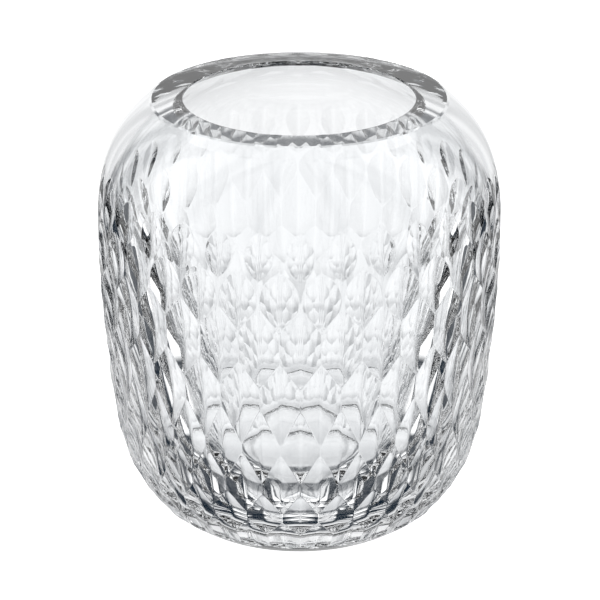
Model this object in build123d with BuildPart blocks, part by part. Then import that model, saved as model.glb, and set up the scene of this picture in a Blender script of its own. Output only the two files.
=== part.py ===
from build123d import *
import os
from math import hypot, pi, radians, tan

# Cut crystal vase: one thick-walled piece of glass with eight rows of wheel-cut leaves.
# Millimetres, +Z up. The origin is the middle of the flat foot, and +X runs through the middle of
# a leaf of the first, topmost row.

os.makedirs("parts", exist_ok=True)

# %% driving dimensions
height = 175.0
rim_radius = 58.8
mouth_radius = 45.0
foot_radius = 53.0
mouth_bevel = 1.1
rim_bevel = 0.6

# %% outline of the uncut blank, foot to rim, as radius and height
blank_points = [
    (foot_radius, 0),
    (64.6, 10),
    (72.4, 25),
    (77.4, 50),
    (80.0, 80),
    (81.1, 110),
    (79.8, 140),
    (72.7, 160),
    (rim_radius, height),
]
with BuildLine() as blank_line:
    Spline(*blank_points)
blank_edge = blank_line.line.edge()

# %% the hollow, mouth to floor
# Thickness of the wall by distance up the outline: thin at the shoulder, thicker towards the foot.
wall_stations = [(163, 7.0), (150, 6.5), (135, 8.0), (105, 10.5), (75, 13.4), (50, 16.0)]
# The bowl below the last station, as radius and height. It ends where the flat floor begins.
bowl_points = [(55.0, 32.0), (49.5, 21.5), (42.0, 15.0), (32.0, 12.5)]
floor_radius, floor_height = bowl_points[-1]

# %% the cuts: a grinding wheel with a wide V edge, pressed in from outside
cuts_around = 32
flank_slope = tan(radians(10))
edge_radius = 6.0
wheel_half_width = 12.0
sector_angle = 360 / cuts_around

# Each row of leaves: distance of its middle up the outline from the foot, half of its length
# on the blank, and its depth. Depth 1 is a cut whose sides just touch its neighbours.
leaf_rows = [
    (146.7, 10.0, 0.83),
    (129.3, 12.2, 1.20),
    (109.6, 16.4, 1.50),
    (85.0, 19.2, 1.50),
    (66.8, 18.1, 1.50),
    (49.4, 15.7, 1.50),
    (32.1, 13.8, 1.60),
    (19.2, 12.4, 1.95),
]


def below_blank(distance, depth):
    """Radius and height of the point this deep in the glass, square to the outline."""
    point = blank_edge.position_at(distance, position_mode=PositionMode.LENGTH)
    along = blank_edge.tangent_at(distance, position_mode=PositionMode.LENGTH)
    return point.X - depth * along.Y, point.Y + depth * along.X


def wheel_for(middle, half_length, relative_depth):
    """Radius, height and size of the wheel through both tips and the deepest point of a leaf."""
    touching_depth = flank_slope * pi * below_blank(middle, 0)[0] / cuts_around
    low_tip = below_blank(middle - half_length, 0)
    deepest = below_blank(middle, relative_depth * touching_depth)
    high_tip = below_blank(middle + half_length, 0)
    with BuildLine() as crease:
        ThreePointArc(low_tip, deepest, high_tip)
    centre = crease.line.edge().arc_center
    return centre.X, centre.Y, hypot(centre.X - deepest[0], centre.Y - deepest[1])


# %% the wheels, each with a slightly blunt edge, standing where they cut
wheels = []
for middle, half_length, relative_depth in leaf_rows:
    centre_r, centre_z, wheel_radius = wheel_for(middle, half_length, relative_depth)
    with BuildPart() as wheel:
        with BuildSketch(Plane.XZ) as wheel_section:
            with BuildLine():
                shoulder = wheel_radius - wheel_half_width * flank_slope
                Polyline(
                    (0, -wheel_half_width),
                    (shoulder, -wheel_half_width),
                    (wheel_radius, 0),
                    (shoulder, wheel_half_width),
                    (0, wheel_half_width),
                    close=True,
                )
            make_face()
            edge_corner = wheel_section.vertices().sort_by(Axis.X)[-1]
            fillet(edge_corner, edge_radius)
        revolve(axis=Axis.Z)
    wheels.append(Location((centre_r, 0, centre_z), (90, 0, 0)) * wheel.part)

# %% one sector: odd rows of leaves half over both of its sides, even rows in its middle
with BuildPart() as sector:
    with BuildSketch(Plane.XZ):
        with BuildLine():
            add(blank_edge)
            Polyline((foot_radius, 0), (0, 0), (0, height), (rim_radius, height))
        make_face()
    revolve(axis=Axis.Z, revolution_arc=sector_angle)
    for index, wheel_body in enumerate(wheels):
        turns = [0, sector_angle] if index % 2 == 0 else [sector_angle / 2]
        for turn in turns:
            add(wheel_body, rotation=(0, 0, turn), mode=Mode.SUBTRACT)

# %% the whole vase: the sector all the way round, then the hollow inside
with BuildPart() as vase:
    with PolarLocations(0, cuts_around):
        add(sector.part)
    with BuildSketch(Plane.XZ):
        with BuildLine():
            wall_points = [below_blank(distance, wall) for distance, wall in wall_stations]
            Spline(
                (mouth_radius, height),
                *wall_points,
                *bowl_points,
                tangents=((0.82, -0.57), (-1, 0)),
            )
            Polyline((floor_radius, floor_height), (0, floor_height), (0, height), (mouth_radius, height))
        make_face()
    revolve(axis=Axis.Z, mode=Mode.SUBTRACT)
    rim_circles = vase.edges().group_by(Axis.Z)[-1].sort_by(SortBy.LENGTH)
    chamfer(rim_circles[0], mouth_bevel)
    rim_circles = vase.edges().group_by(Axis.Z)[-1].sort_by(SortBy.LENGTH)
    chamfer(rim_circles[-1], rim_bevel)

vase.part.label = "vase"
export_step(vase.part, "parts/vase.step")
print("vase volume", round(vase.part.volume), "faces", len(vase.faces()), "valid", vase.part.is_valid)
print("size", vase.part.bounding_box().size)
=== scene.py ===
# %% [markdown]
# # A cut crystal vase
# The vase is one thick piece of clear glass. Its outside carries eight staggered rows of pointed
# leaves, each ground in by a wheel with a wide V edge. Everything is in metres, with the foot on
# the floor at the origin and +Z up.

# %% Load the frame
import bpy
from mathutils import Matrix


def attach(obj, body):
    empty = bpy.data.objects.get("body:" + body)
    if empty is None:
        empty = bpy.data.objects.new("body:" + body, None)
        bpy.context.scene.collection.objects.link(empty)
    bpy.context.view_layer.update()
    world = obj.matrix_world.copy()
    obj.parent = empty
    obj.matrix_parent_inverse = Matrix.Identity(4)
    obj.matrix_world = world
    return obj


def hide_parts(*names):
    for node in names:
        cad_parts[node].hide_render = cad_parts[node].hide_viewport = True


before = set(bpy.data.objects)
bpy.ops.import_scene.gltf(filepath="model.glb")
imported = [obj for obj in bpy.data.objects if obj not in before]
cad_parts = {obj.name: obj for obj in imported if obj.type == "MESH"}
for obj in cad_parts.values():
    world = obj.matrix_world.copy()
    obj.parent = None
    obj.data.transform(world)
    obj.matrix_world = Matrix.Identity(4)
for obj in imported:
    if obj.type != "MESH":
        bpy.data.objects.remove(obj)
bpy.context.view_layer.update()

import bpy
import numpy as np
from math import cos, hypot, pi, radians, sin, tan
from mathutils import Vector

MM = 0.001
scene = bpy.context.scene

# %% [markdown]
# ## The blank
# Before it is cut, the vase is a smooth barrel. Its outline is one free curve from the foot to the
# rim, so a natural cubic spline through a few turning points describes it. The spline is read by
# distance along the outline, because that is how the rows of cuts are spaced.

# %% Turning points of the blank, foot to rim, as radius and height
blank_points = np.array([
    (53.0, 0),
    (64.6, 10),
    (72.4, 25),
    (77.4, 50),
    (80.0, 80),
    (81.1, 110),
    (79.8, 140),
    (72.7, 160),
    (58.8, 175),
]) * MM
rim_radius, height = blank_points[-1]
print("blank", round(height / MM, 1), "mm high, rim", round(rim_radius / MM, 1), "mm in radius")


# %% A smooth curve through points
def spline_through(points, samples=2000):
    """Points along a natural cubic spline that passes through the given ones."""
    steps = np.hypot(*np.diff(points, axis=0).T)
    knots = np.concatenate([[0], np.cumsum(steps)])
    count = len(points)
    system = np.eye(count)
    right = np.zeros((count, 2))
    for i in range(1, count - 1):
        system[i, i - 1] = steps[i - 1]
        system[i, i] = 2 * (steps[i - 1] + steps[i])
        system[i, i + 1] = steps[i]
        right[i] = 6 * ((points[i + 1] - points[i]) / steps[i] - (points[i] - points[i - 1]) / steps[i - 1])
    bends = np.linalg.solve(system, right)
    at = np.linspace(0, knots[-1], samples)
    span = np.clip(np.searchsorted(knots, at, side="right") - 1, 0, count - 2)
    width = steps[span][:, None]
    before = (at - knots[span])[:, None] / width
    after = 1 - before
    return (
        after * points[span] + before * points[span + 1]
        + ((after**3 - after) * bends[span] + (before**3 - before) * bends[span + 1]) * width**2 / 6
    )


blank_curve = spline_through(blank_points)
belly_radius = blank_curve[:, 0].max()
print("belly", round(belly_radius / MM, 2), "mm in radius")


# %% An outline read by distance
class Outline:
    """A curve of radius and height, read by distance along it."""

    def __init__(self, curve):
        self.curve = curve
        self.along = np.concatenate([[0], np.cumsum(np.hypot(*np.diff(curve, axis=0).T))])
        slopes = np.gradient(curve, self.along, axis=0)
        self.tangent = slopes / np.hypot(*slopes.T)[:, None]
        self.length = self.along[-1]

    def point(self, distance):
        return np.array([np.interp(distance, self.along, self.curve[:, axis]) for axis in (0, 1)])

    def inward(self, distance):
        """Direction into the glass, square to the outline."""
        return np.array([
            -np.interp(distance, self.along, self.tangent[:, 1]),
            np.interp(distance, self.along, self.tangent[:, 0]),
        ])


blank = Outline(blank_curve)
print("outline", round(blank.length / MM, 1), "mm long")

# %% [markdown]
# ## The wheel cuts
# A leaf is what a grinding wheel leaves when its V edge is pressed into the barrel: a straight
# crease between two nearly flat flanks, deepest in the middle and pointed at both ends. Where
# neighbouring leaves overlap, their flanks meet in sharp ridges, and those ridges make the net of
# long hexagons. So the cuts are described by their wheels, and the ridges follow by themselves.

# %% Rows of leaves
cuts_around = 32
half_sector = pi / cuts_around
flank_angle = radians(10)
flank_slope = tan(flank_angle)

# Each row of leaves: distance of its middle up the outline from the foot and half of its length,
# in millimetres, and its depth. Depth 1 is a cut whose sides just touch its neighbours.
leaf_rows = [
    (146.7, 10.0, 0.83),
    (129.3, 12.2, 1.20),
    (109.6, 16.4, 1.50),
    (85.0, 19.2, 1.50),
    (66.8, 18.1, 1.50),
    (49.4, 15.7, 1.50),
    (32.1, 13.8, 1.60),
    (19.2, 12.4, 1.95),
]
print(len(leaf_rows), "rows of", cuts_around, "leaves")


# %% One wheel for each row
def circle_through(low, deepest, high):
    """Centre and radius of the circle through three points."""
    chords = np.array([deepest - low, high - low])
    centre = np.linalg.solve(chords, (chords @ (np.array([deepest, high]) + low).T).diagonal() / 2)
    return centre[0], centre[1], hypot(*(centre - deepest))


wheels = []
for middle, half_length, relative_depth in leaf_rows:
    surface = blank.point(middle * MM)
    touching_depth = flank_slope * surface[0] * half_sector
    deepest = surface + blank.inward(middle * MM) * relative_depth * touching_depth
    low_tip = blank.point((middle - half_length) * MM)
    high_tip = blank.point((middle + half_length) * MM)
    wheels.append(circle_through(low_tip, deepest, high_tip))
    print("row at", middle, "mm: wheel radius", round(wheels[-1][2] / MM, 1), "mm")

# %% The edge of a wheel is slightly blunt
edge_radius = 6.0 * MM
edge_half = edge_radius * sin(flank_angle)
tip_loss = edge_radius * (1 / cos(flank_angle) - 1)
print("wheel edge blunt over", round(2 * edge_half / MM, 2), "mm")


def wheel_edge(sideways):
    """How much smaller the wheel is this far to the side of its middle."""
    sideways = np.abs(sideways)
    rounded = tip_loss + edge_radius - np.sqrt(np.maximum(edge_radius**2 - sideways**2, 0))
    return np.where(sideways < edge_half, rounded, flank_slope * sideways)


# %% How deep the wheels press at a place on the blank
settling_rounds = 3


def press_depth(distance, across, first_row):
    """Depth of the cuts of every second row, at a fraction across the half sector.

    The depth is measured square to the outline. It starts at nothing, and each round moves it by
    the gap that is left to the surface of the wheel.
    """
    surface = blank.point(distance)
    inward = blank.inward(distance)
    turn = (across if first_row == 0 else 1 - across) * half_sector
    deepest = np.full(np.broadcast(distance, across).shape, -1.0)
    for centre_r, centre_z, radius in wheels[first_row::2]:
        depth = np.zeros_like(deepest)
        for _ in range(settling_rounds):
            r = surface[0] + depth * inward[0]
            z = surface[1] + depth * inward[1]
            reach = radius - wheel_edge(r * np.sin(turn))
            depth = depth + reach - np.hypot(r * np.cos(turn) - centre_r, z - centre_z)
        deepest = np.maximum(deepest, depth)
    return deepest


third_row = leaf_rows[2][0] * MM
print("third row is", round(float(press_depth(third_row, 0.0, 0)) / MM, 2), "mm deep")

# %% Where the ridges run on one level
fine_steps = np.linspace(0, 1, 1001)


def ridges_at(distance):
    """Where the first-column leaf ends and where the second-column leaf begins, 0 to 1 across."""
    first = press_depth(distance, fine_steps, 0)
    second = press_depth(distance, fine_steps, 1)
    first_wins = first - np.maximum(second, 0)
    second_wins = second - np.maximum(first, 0)
    if first_wins[0] <= 0:
        end = 0.0
    elif first_wins[-1] >= 0:
        end = 1.0
    else:
        end = float(np.interp(0, -first_wins, fine_steps))
    if second_wins[-1] <= 0:
        start = 1.0
    elif second_wins[0] >= 0:
        start = 0.0
    else:
        start = float(np.interp(0, second_wins, fine_steps))
    if start < end:
        start = end = (start + end) / 2
    return end, start


def kind_of_level(distance):
    """Which of the two leaves reach this level, and whether uncut land lies between them."""
    end, start = ridges_at(distance)
    return end <= 0, end >= 1, start <= 0, start >= 1, start > end


print("ridge on the third row at", round(ridges_at(third_row)[0], 3), "of the way across")

# %% Tips and meeting points of the ridges
# The scan goes up the outline in steps, in millimetres. Halving then closes in on each change.
scan_start = 0.5
scan_step = 0.25
halvings = 40


def find_change(low, high):
    """Distance between low and high at which the kind of level changes."""
    kind = kind_of_level(low)
    for _ in range(halvings):
        middle = (low + high) / 2
        if kind_of_level(middle) == kind:
            low = middle
        else:
            high = middle
    return (low + high) / 2


scan = np.arange(scan_start, blank.length / MM, scan_step) * MM
kinds = [kind_of_level(distance) for distance in scan]
tips = []
for i in range(1, len(scan)):
    if kinds[i] != kinds[i - 1]:
        tips.append(find_change(scan[i - 1], scan[i]))
print(len(tips), "turning points of the ridges:", [round(tip / MM, 1) for tip in tips])

# %% [markdown]
# ## The hollow
# The inside is smooth. It follows the outside at a thickness of its own, thin at the shoulder and
# thick towards the foot, and then rounds into a bowl with a flat floor. Another spline takes it
# from the mouth to the edge of that floor.

# %% Inside profile, mouth to floor
mouth_radius = 45.0 * MM
mouth_bevel = 1.1 * MM
rim_bevel = 0.6 * MM
# Distance up the outline, and thickness of the wall there.
wall_stations = [(163, 7.0), (150, 6.5), (135, 8.0), (105, 10.5), (75, 13.4), (50, 16.0)]
# The bowl below the last station, as radius and height.
bowl_points = [(55, 32), (49.5, 21.5), (42, 15), (32, 12.5)]
inside_points = [np.array([mouth_radius, height])]
for distance, wall in wall_stations:
    inside_points.append(blank.point(distance * MM) + blank.inward(distance * MM) * wall * MM)
inside_points += [np.array(point) * MM for point in bowl_points]
inside = Outline(spline_through(np.array(inside_points)))
floor_radius, floor_height = inside_points[-1]
print("inside", round(inside.length / MM, 1), "mm long, floor", round(floor_height / MM, 1), "mm up")

# %% [markdown]
# ## The mesh of one half sector
# The net repeats 32 times, and each leaf is its own mirror image, so only a strip of half a sector
# is modelled. At every level of the strip the columns are laid out between the ridges, so that a
# ridge is always an edge of the mesh, never a staircase. Acid polishing takes the bite off a
# freshly cut ridge, so a narrow column stands on either side of it and the shading turns there.

# %% Levels on the outside
level_step = 1.9 * MM
least_step = 0.3 * MM
tip_levels = np.array([0.0, *tips, blank.length])
outside_levels = [0.0]
for low, high in zip(tip_levels[:-1], tip_levels[1:]):
    if high - low < least_step:
        continue
    count = max(1, round((high - low) / level_step))
    outside_levels.extend(np.linspace(outside_levels[-1], high, count + 1)[1:])
print(len(outside_levels), "levels up the outside")

# %% Columns across the half sector
half_sector_width = belly_radius * half_sector
crease_share = 1.2 * MM / half_sector_width
ridge_share = 0.3 * MM / half_sector_width
widest_crease = 0.4
widest_ridge = 0.2
land_count = 6
ring_columns = 6


def flank_columns(width):
    """Columns from the crease of a leaf out to its ridge."""
    crease = min(crease_share, widest_crease * width)
    blunt = min(ridge_share, widest_ridge * width)
    return np.array([0, crease / 2, crease, (crease + width - blunt) / 2, width - blunt, width])


def land_columns(low, high):
    """Columns over the uncut land between two leaves, without the first ridge."""
    blunt = min(ridge_share, widest_ridge * (high - low))
    return np.array([*np.linspace(low + blunt, high - blunt, land_count), high])


width = 2 * len(flank_columns(1)) + len(land_columns(0, 1)) - 1
print(width, "columns across", round(half_sector_width / MM, 2), "mm at the belly")

# %% A strip that grows level by level
same_place = 1e-7
points = []
ground_points = []
levels = []
sharp_pairs = set()


def add_level(places, sharp_across=False, is_ground=None):
    """Add one level; columns that share a place share a point."""
    marks = np.zeros(width) if is_ground is None else is_ground
    indices = []
    for place, mark in zip(places, marks):
        if indices and np.allclose(points[indices[-1]], place, atol=same_place):
            indices.append(indices[-1])
        else:
            indices.append(len(points))
            points.append(place)
            ground_points.append(float(mark))
    if sharp_across:
        sharp_pairs.update(zip(indices[:-1], indices[1:]))
    levels.append(indices)


def ring(radius, level_height):
    """Places on one level of a smooth surface of revolution."""
    spare = width - ring_columns - 1
    across = np.linspace(0, 1, ring_columns + 1)
    across = np.concatenate([np.zeros(spare // 2), across, np.ones(spare - spare // 2)])
    return [(radius * cos(turn), radius * sin(turn), level_height) for turn in across * half_sector]


def cut_level(distance):
    """Places on one level of the cut outside, laid out between the ridges, and which are ground."""
    end, start = ridges_at(distance)
    across = np.concatenate([
        flank_columns(end),
        land_columns(end, start),
        1 - flank_columns(1 - start)[-2::-1],
    ])
    depth = np.maximum(0, np.maximum(press_depth(distance, across, 0), press_depth(distance, across, 1)))
    surface = blank.point(distance)
    inward = blank.inward(distance)
    r = surface[0] + depth * inward[0]
    z = surface[1] + depth * inward[1]
    turn = across * half_sector
    return list(zip(r * np.cos(turn), r * np.sin(turn), z)), depth > 0


print("a level has up to", len(cut_level(third_row)[0]), "points")

# %% Levels of the foot and of the cut outside
foot_radii = [0, 25 * MM, 48 * MM]
rim_start = blank.length - rim_bevel
rim_margin = 0.5 * MM
for radius in foot_radii:
    add_level(ring(radius, 0))
for distance in outside_levels:
    if distance < rim_start - rim_margin:
        places, is_ground = cut_level(distance)
        add_level(places, sharp_across=distance == 0, is_ground=is_ground)
print(len(levels), "levels as far as the rim")

# %% Levels of the rim and of the hollow
inside_level_count = 62
inside_start = 1.1 * mouth_bevel
floor_shares = [0.6, 0.3, 0]
add_level(ring(*blank.point(rim_start)), sharp_across=True)
add_level(ring(rim_radius - rim_bevel, height), sharp_across=True)
add_level(ring((rim_radius + mouth_radius) / 2, height))
add_level(ring(mouth_radius + mouth_bevel, height), sharp_across=True)
for distance in np.linspace(inside_start, inside.length, inside_level_count):
    add_level(ring(*inside.point(distance)), sharp_across=distance == inside_start)
for share in floor_shares:
    add_level(ring(floor_radius * share, floor_height))
print(len(levels), "levels in all")

# %% Faces between the levels
faces = []
for low, high in zip(levels[:-1], levels[1:]):
    for column in range(width - 1):
        corners = [low[column], low[column + 1], high[column + 1], high[column]]
        face = [corner for i, corner in enumerate(corners) if corner != corners[i - 1]]
        if len(face) >= 3:
            faces.append(face)
strip_mesh = bpy.data.meshes.new("half_sector")
strip_mesh.from_pydata([Vector(point) for point in points], [], faces)
print("strip:", len(points), "points,", len(faces), "faces")

# %% Marks for sharp edges and for ground glass
sharp_pairs = {tuple(sorted(pair)) for pair in sharp_pairs}
sharp = strip_mesh.attributes.new("sharp", "BOOLEAN", "EDGE")
sharp.data.foreach_set("value", [tuple(sorted(edge.vertices)) in sharp_pairs for edge in strip_mesh.edges])
ground_mark = strip_mesh.attributes.new("ground", "FLOAT", "POINT")
ground_mark.data.foreach_set("value", ground_points)
print(len(sharp_pairs), "sharp edges,", round(sum(ground_points)), "ground points")

# %% [markdown]
# ## All the way round
# Geometry Nodes mirror the strip into a whole leaf, stand 32 copies in a ring, and weld them into
# one closed body. Only the edges of the rim and the foot stay sharp. Everything else is shaded
# smooth, which is what makes the flanks bend light as polished facets do.

# %% Inputs of the ring
strip = bpy.data.objects.new("half_sector", strip_mesh)
tree = bpy.data.node_groups.new("ring_of_leaves", "GeometryNodeTree")
tree.interface.new_socket("Geometry", in_out="INPUT", socket_type="NodeSocketGeometry")
count_socket = tree.interface.new_socket("Cuts around", in_out="INPUT", socket_type="NodeSocketInt")
weld_socket = tree.interface.new_socket("Weld distance", in_out="INPUT", socket_type="NodeSocketFloat")
glass_socket = tree.interface.new_socket("Glass", in_out="INPUT", socket_type="NodeSocketMaterial")
tree.interface.new_socket("Geometry", in_out="OUTPUT", socket_type="NodeSocketGeometry")
print("ring of leaves has", len(tree.interface.items_tree), "sockets")


# %% Helpers for nodes
def add_node(node_tree, kind, settings=None, **inputs):
    """Add a node with its settings, and its unlinked inputs by name."""
    made = node_tree.nodes.new(kind)
    for name, value in (settings or {}).items():
        setattr(made, name, value)
    for name, value in inputs.items():
        made.inputs[name.replace("_", " ")].default_value = value
    return made


def join(output, target):
    """Link an output to an input in the tree that holds them both."""
    target.id_data.links.new(output, target)


def maths(node_tree, operation, first, second=0.0):
    """Output of a maths node; each input is the output of another node or a number."""
    made = add_node(node_tree, "ShaderNodeMath", {"operation": operation})
    for target, value in zip(made.inputs, (first, second)):
        if isinstance(value, (int, float)):
            target.default_value = value
        else:
            join(value, target)
    return made.outputs[0]


# %% One leaf from the strip and its mirror image
start = add_node(tree, "NodeGroupInput")
mirror = add_node(tree, "GeometryNodeTransform", Scale=(1, -1, 1))
flip = add_node(tree, "GeometryNodeFlipFaces")
leaf = add_node(tree, "GeometryNodeJoinGeometry")
join(start.outputs["Geometry"], mirror.inputs["Geometry"])
join(mirror.outputs["Geometry"], flip.inputs["Mesh"])
join(start.outputs["Geometry"], leaf.inputs["Geometry"])
join(flip.outputs["Mesh"], leaf.inputs["Geometry"])
print("leaf:", len(tree.nodes), "nodes so far")

# %% Copies in a ring, welded into one body
ring_points = add_node(tree, "GeometryNodeMeshLine", {"mode": "OFFSET"}, Offset=(0, 0, 0))
turn_step = maths(tree, "DIVIDE", 2 * pi, start.outputs["Cuts around"])
turn_index = add_node(tree, "GeometryNodeInputIndex")
turn = add_node(tree, "ShaderNodeCombineXYZ")
stand = add_node(tree, "GeometryNodeInstanceOnPoints")
realize = add_node(tree, "GeometryNodeRealizeInstances")
weld = add_node(tree, "GeometryNodeMergeByDistance")
join(start.outputs["Cuts around"], ring_points.inputs["Count"])
join(maths(tree, "MULTIPLY", turn_step, turn_index.outputs[0]), turn.inputs["Z"])
join(ring_points.outputs["Mesh"], stand.inputs["Points"])
join(leaf.outputs["Geometry"], stand.inputs["Instance"])
join(turn.outputs[0], stand.inputs["Rotation"])
join(stand.outputs["Instances"], realize.inputs["Geometry"])
join(realize.outputs["Geometry"], weld.inputs["Geometry"])
join(start.outputs["Weld distance"], weld.inputs["Distance"])
print("ring:", len(tree.nodes), "nodes so far")

# %% Smooth shading, sharp edges, and the glass
smooth_faces = add_node(tree, "GeometryNodeSetShadeSmooth", {"domain": "FACE"}, Shade_Smooth=True)
smooth = add_node(tree, "GeometryNodeSetShadeSmooth", {"domain": "EDGE"})
sharp_flag = add_node(tree, "GeometryNodeInputNamedAttribute", {"data_type": "BOOLEAN"}, Name="sharp")
not_sharp = add_node(tree, "FunctionNodeBooleanMath", {"operation": "NOT"})
paint = add_node(tree, "GeometryNodeSetMaterial")
finish = add_node(tree, "NodeGroupOutput")
join(weld.outputs["Geometry"], smooth_faces.inputs["Geometry"])
join(smooth_faces.outputs["Geometry"], smooth.inputs["Geometry"])
join(sharp_flag.outputs["Attribute"], not_sharp.inputs[0])
join(not_sharp.outputs[0], smooth.inputs["Shade Smooth"])
join(smooth.outputs["Geometry"], paint.inputs["Geometry"])
join(start.outputs["Glass"], paint.inputs["Material"])
join(paint.outputs["Geometry"], finish.inputs["Geometry"])
print("whole tree:", len(tree.nodes), "nodes,", len(tree.links), "links")

# %% [markdown]
# ## Crystal
# Lead crystal bends light more than window glass, so its index is set a little high. It is never
# quite perfect: the melt leaves soft cords that sway the view, the wheel leaves faint streaks
# along each leaf, and washing dulls the polish here and there. Each of the three is a separate
# noise, sized by what causes it. The streaks follow the attribute that marks the ground leaves.

# %% Crystal material
crystal = bpy.data.materials.new("crystal")
crystal.use_nodes = True
crystal_tree = crystal.node_tree
shader = crystal_tree.nodes["Principled BSDF"]
shader.inputs["Base Color"].default_value = (0.985, 0.993, 1.0, 1)
shader.inputs["Transmission Weight"].default_value = 1
shader.inputs["IOR"].default_value = 1.54
print("crystal index", round(shader.inputs["IOR"].default_value, 2))

# %% Cords in the melt
cord_height = 0.04 * MM
place = add_node(crystal_tree, "ShaderNodeTexCoord")
cord_space = add_node(crystal_tree, "ShaderNodeMapping", Scale=(1, 1, 0.4))
cords = add_node(crystal_tree, "ShaderNodeTexNoise", Scale=55, Detail=1.0, Roughness=0.4)
cord_bump = add_node(crystal_tree, "ShaderNodeBump", Strength=1.0, Distance=cord_height)
join(place.outputs["Object"], cord_space.inputs["Vector"])
join(cord_space.outputs["Vector"], cords.inputs["Vector"])
join(cords.outputs["Fac"], cord_bump.inputs["Height"])
print("cords stand", round(cord_height / MM, 3), "mm high")

# %% Streaks of the wheel
streak_width = 1.3 * MM
streak_length = 14 * MM
streak_depth = 0.012 * MM
split = add_node(crystal_tree, "ShaderNodeSeparateXYZ")
streak_space = add_node(crystal_tree, "ShaderNodeCombineXYZ")
streaks = add_node(crystal_tree, "ShaderNodeTexNoise", Scale=1.0, Detail=2.0, Roughness=0.5)
ground = add_node(crystal_tree, "ShaderNodeAttribute", {"attribute_name": "ground"})
streak_bump = add_node(crystal_tree, "ShaderNodeBump", Strength=1.0, Distance=streak_depth)
join(place.outputs["Object"], split.inputs["Vector"])
around = maths(crystal_tree, "ARCTAN2", split.outputs["Y"], split.outputs["X"])
across_leaf = maths(crystal_tree, "MULTIPLY", around, belly_radius / streak_width)
along_leaf = maths(crystal_tree, "MULTIPLY", split.outputs["Z"], 1 / streak_length)
join(across_leaf, streak_space.inputs["X"])
join(along_leaf, streak_space.inputs["Y"])
join(streak_space.outputs["Vector"], streaks.inputs["Vector"])
streak_height = maths(crystal_tree, "MULTIPLY", streaks.outputs["Fac"], ground.outputs["Fac"])
join(streak_height, streak_bump.inputs["Height"])
join(cord_bump.outputs["Normal"], streak_bump.inputs["Normal"])
join(streak_bump.outputs["Normal"], shader.inputs["Normal"])
print("streaks are", round(streak_depth / MM, 3), "mm deep")

# %% Polish
dullest = 0.006
haze = add_node(crystal_tree, "ShaderNodeTexNoise", Scale=30, Detail=3.0)
polish = add_node(crystal_tree, "ShaderNodeMapRange", From_Min=0.35, From_Max=0.75, To_Max=dullest)
polish.inputs["To Min"].default_value = 0.0
join(place.outputs["Object"], haze.inputs["Vector"])
join(haze.outputs["Fac"], polish.inputs["Value"])
join(polish.outputs["Result"], shader.inputs["Roughness"])
print("crystal:", len(crystal_tree.nodes), "nodes")

# %% Make the vase
weld_distance = 0.01 * MM
modifier = strip.modifiers.new("ring", "NODES")
modifier.node_group = tree
modifier[count_socket.identifier] = cuts_around
modifier[weld_socket.identifier] = weld_distance
modifier[glass_socket.identifier] = crystal
scene.collection.objects.link(strip)
evaluated = strip.evaluated_get(bpy.context.evaluated_depsgraph_get())
vase_mesh = bpy.data.meshes.new_from_object(evaluated)
vase_mesh.name = "cut_vase"
vase = bpy.data.objects.new("cut_vase", vase_mesh)
bpy.data.objects.remove(strip)
scene.collection.objects.link(vase)
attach(vase, "root")
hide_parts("vase")
triangles = sum(len(polygon.vertices) - 2 for polygon in vase_mesh.polygons)
print("vase:", len(vase_mesh.vertices), "points,", triangles, "triangles")

# %% [markdown]
# ## The camera
# The vase is seen a little from above, so that its mouth is open to view and its far wall shows
# through the near one. A long lens from about a metre away keeps its sides nearly upright. The
# camera looks at the middle of the vase, half of the way up.

# %% Camera
view_from = radians(23.43)
view_turn = radians(0.35)
camera_distance = 0.9716
aim = Vector((0.00029, 0, 0.0875))
camera_data = bpy.data.cameras.new("camera")
camera_data.sensor_width = 36
camera_data.lens = 142.56
camera = bpy.data.objects.new("camera", camera_data)
toward_camera = Vector((
    -sin(view_turn) * cos(view_from),
    -cos(view_turn) * cos(view_from),
    sin(view_from),
))
camera.location = aim + camera_distance * toward_camera
camera.rotation_euler = (aim - camera.location).to_track_quat("-Z", "Y").to_euler()
scene.collection.objects.link(camera)
scene.camera = camera
print("camera at", [round(part, 3) for part in camera.location])

# %% [markdown]
# ## Floor and studio
# Clear glass has no colour of its own: its picture is made by what stands around it. A white tent
# gives the clean middle. Dark flags stand beside it, and the walls of the vase fold them into view
# as the dark halves of the leaves. A narrow dark line far below is the shaded edge of the table.
# The tent is a pattern on the sky, set out by compass angle and by elevation, and its backdrop
# stays plain white. The floor is left out of what the glass shows, or it would hide the table's
# shaded edge.

# %% Floor
floor_half = 3
floor_corners = [
    (-floor_half, -floor_half, 0),
    (floor_half, -floor_half, 0),
    (floor_half, floor_half, 0),
    (-floor_half, floor_half, 0),
]
floor_mesh = bpy.data.meshes.new("floor")
floor_mesh.from_pydata(floor_corners, [], [(0, 1, 2, 3)])
floor = bpy.data.objects.new("floor", floor_mesh)
scene.collection.objects.link(floor)
floor.visible_transmission = False
floor.visible_glossy = False
print("floor", 2 * floor_half, "m across")

# %% Pale floor material
pale = bpy.data.materials.new("pale_floor")
pale.use_nodes = True
pale_shader = pale.node_tree.nodes["Principled BSDF"]
pale_shader.inputs["Base Color"].default_value = (0.9, 0.9, 0.9, 1)
pale_shader.inputs["Roughness"].default_value = 0.6
pale_shader.inputs["Emission Color"].default_value = (1, 1, 1, 1)
pale_shader.inputs["Emission Strength"].default_value = 0.85
floor_mesh.materials.append(pale)
print("floor material:", pale.name)

# %% Cloth of the tent: its brightness by compass angle, in degrees from the far side
cloth_by_angle = [
    (-180, 0.66),
    (-120, 0.66),
    (-104, 0.8),
    (-84, 1.0),
    (-70, 1.0),
    (-34, 0.64),
    (-28, 0.58),
    (-16, 0.64),
    (-8, 0.57),
    (3, 0.63),
    (14, 0.57),
    (28, 0.61),
    (39, 0.56),
    (69, 1.0),
    (84, 1.0),
    (104, 0.8),
    (120, 0.66),
    (180, 0.66),
]
print("cloth has", len(cloth_by_angle), "stops")

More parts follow.
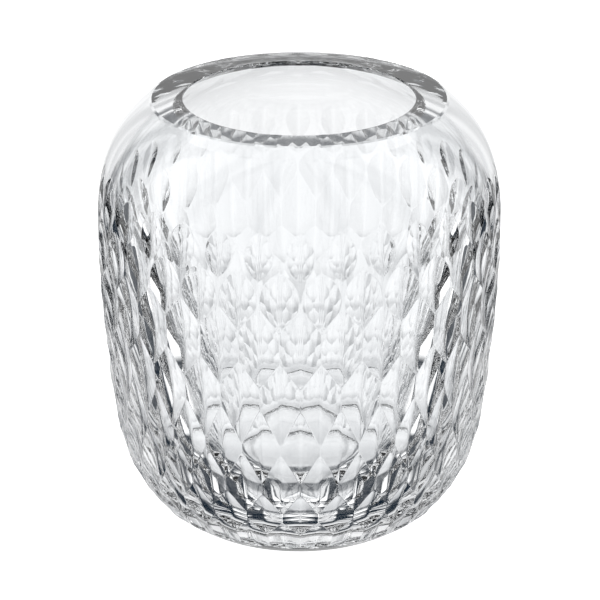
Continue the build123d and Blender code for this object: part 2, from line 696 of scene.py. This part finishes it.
# %% Flags in front of the cloth: their two sides, and how bright they are
flags = [
    (-158, -154, 0.05),
    (-116, -109, 0.10),
    (-67, -48, 0.01),
    (-41, -37, 0.05),
    (-24, -20, 0.40),
    (19, 23, 0.40),
    (39, 42, 0.10),
    (51, 66, 0.01),
    (109, 116, 0.10),
    (154, 158, 0.05),
]
flag_blur = 3


def cloth_at(angle):
    return float(np.interp(angle, *zip(*cloth_by_angle)))


def is_free(angle):
    return all(angle < low - flag_blur or angle > high + flag_blur for low, high, brightness in flags)


tent_by_angle = [stop for stop in cloth_by_angle if is_free(stop[0])]
for low, high, brightness in flags:
    tent_by_angle.append((low - flag_blur, cloth_at(low - flag_blur)))
    tent_by_angle.append((low, brightness))
    tent_by_angle.append((high, brightness))
    tent_by_angle.append((high + flag_blur, cloth_at(high + flag_blur)))
tent_by_angle.sort()
print("tent and", len(flags), "flags have", len(tent_by_angle), "stops")

# %% Brightness by elevation, in degrees
# Below the cloth come its greyer hem, the dark edge of the table, and the lit table itself.
tent_by_elevation = [
    (-90, 0.9),
    (-74, 0.8),
    (-67, 0.02),
    (-53, 0.02),
    (-48, 0.75),
    (-38, 0.7),
    (-30, 1),
    (90, 1),
]
print("darkest", min(brightness for angle, brightness in tent_by_elevation), "under the table's edge")

# %% World and a curve node for it
world = bpy.data.worlds.new("studio")
world.use_nodes = True
scene.world = world
sky_tree = world.node_tree
background = sky_tree.nodes["Background"]


def sky_curve(value, stops, lowest, highest):
    """Brightness that follows straight lines between stops, over degrees from lowest to highest."""
    made = add_node(sky_tree, "ShaderNodeFloatCurve")
    curve_points = made.mapping.curves[0].points
    while len(curve_points) < len(stops):
        curve_points.new(0.5, 0.5)
    for curve_point, (angle, brightness) in zip(curve_points, stops):
        curve_point.location = ((angle - lowest) / (highest - lowest), brightness)
        curve_point.handle_type = "VECTOR"
    made.mapping.update()
    join(value, made.inputs["Value"])
    return made.outputs[0]


print("world:", world.name)

# %% The tent's pattern on the sky
toward = add_node(sky_tree, "ShaderNodeTexCoord")
toward_parts = add_node(sky_tree, "ShaderNodeSeparateXYZ")
join(toward.outputs["Generated"], toward_parts.inputs[0])
compass = maths(sky_tree, "ARCTAN2", toward_parts.outputs["X"], toward_parts.outputs["Y"])
compass_share = maths(sky_tree, "ADD", maths(sky_tree, "DIVIDE", compass, 2 * pi), 0.5)
elevation = maths(sky_tree, "ARCSINE", toward_parts.outputs["Z"])
elevation_share = maths(sky_tree, "ADD", maths(sky_tree, "DIVIDE", elevation, pi), 0.5)
tent = maths(
    sky_tree,
    "MULTIPLY",
    sky_curve(compass_share, tent_by_angle, -180, 180),
    sky_curve(elevation_share, tent_by_elevation, -90, 90),
)
print("sky:", len(sky_tree.nodes), "nodes")

# %% Colour of the tent, from its bluish shade to its white
tent_strength = 1.61
shade_color = (0.0, 0.006, 0.014, 1)
cloth_color = (1, 1, 1, 1)


def socket(sockets, identifier):
    """A socket by its identifier, for a node that has several of the same name."""
    return next(found for found in sockets if found.identifier == identifier)


tent_color = add_node(sky_tree, "ShaderNodeMix", {"data_type": "RGBA"})
socket(tent_color.inputs, "A_Color").default_value = shade_color
socket(tent_color.inputs, "B_Color").default_value = cloth_color
join(tent, socket(tent_color.inputs, "Factor_Float"))
join(socket(tent_color.outputs, "Result_Color"), background.inputs["Color"])
background.inputs["Strength"].default_value = tent_strength
print("tent strength", tent_strength)

# %% Plain backdrop behind it all
backdrop = add_node(sky_tree, "ShaderNodeBackground", Color=(1, 1, 1, 1), Strength=1.0)
seen = add_node(sky_tree, "ShaderNodeLightPath")
choose = add_node(sky_tree, "ShaderNodeMixShader")
join(seen.outputs["Is Camera Ray"], choose.inputs[0])
join(background.outputs[0], choose.inputs[1])
join(backdrop.outputs[0], choose.inputs[2])
join(choose.outputs[0], sky_tree.nodes["World Output"].inputs["Surface"])
print("world:", len(sky_tree.nodes), "nodes,", len(sky_tree.links), "links")

# %% [markdown]
# ## Light inside the glass
# Light that enters thick cut glass is folded many times before it leaves. Each fold is a bounce,
# and where the bounces run out the glass turns black. The glossy limit decides how dark the
# deepest folds look, so it is set a little above its usual 4. The tones are shown as they are,
# without a film curve.

# %% Bounces and tones
scene.view_settings.view_transform = "Standard"
scene.cycles.transmission_bounces = 12
scene.cycles.glossy_bounces = 6
print("bounces:", scene.cycles.transmission_bounces, "through,", scene.cycles.glossy_bounces, "off the glass")
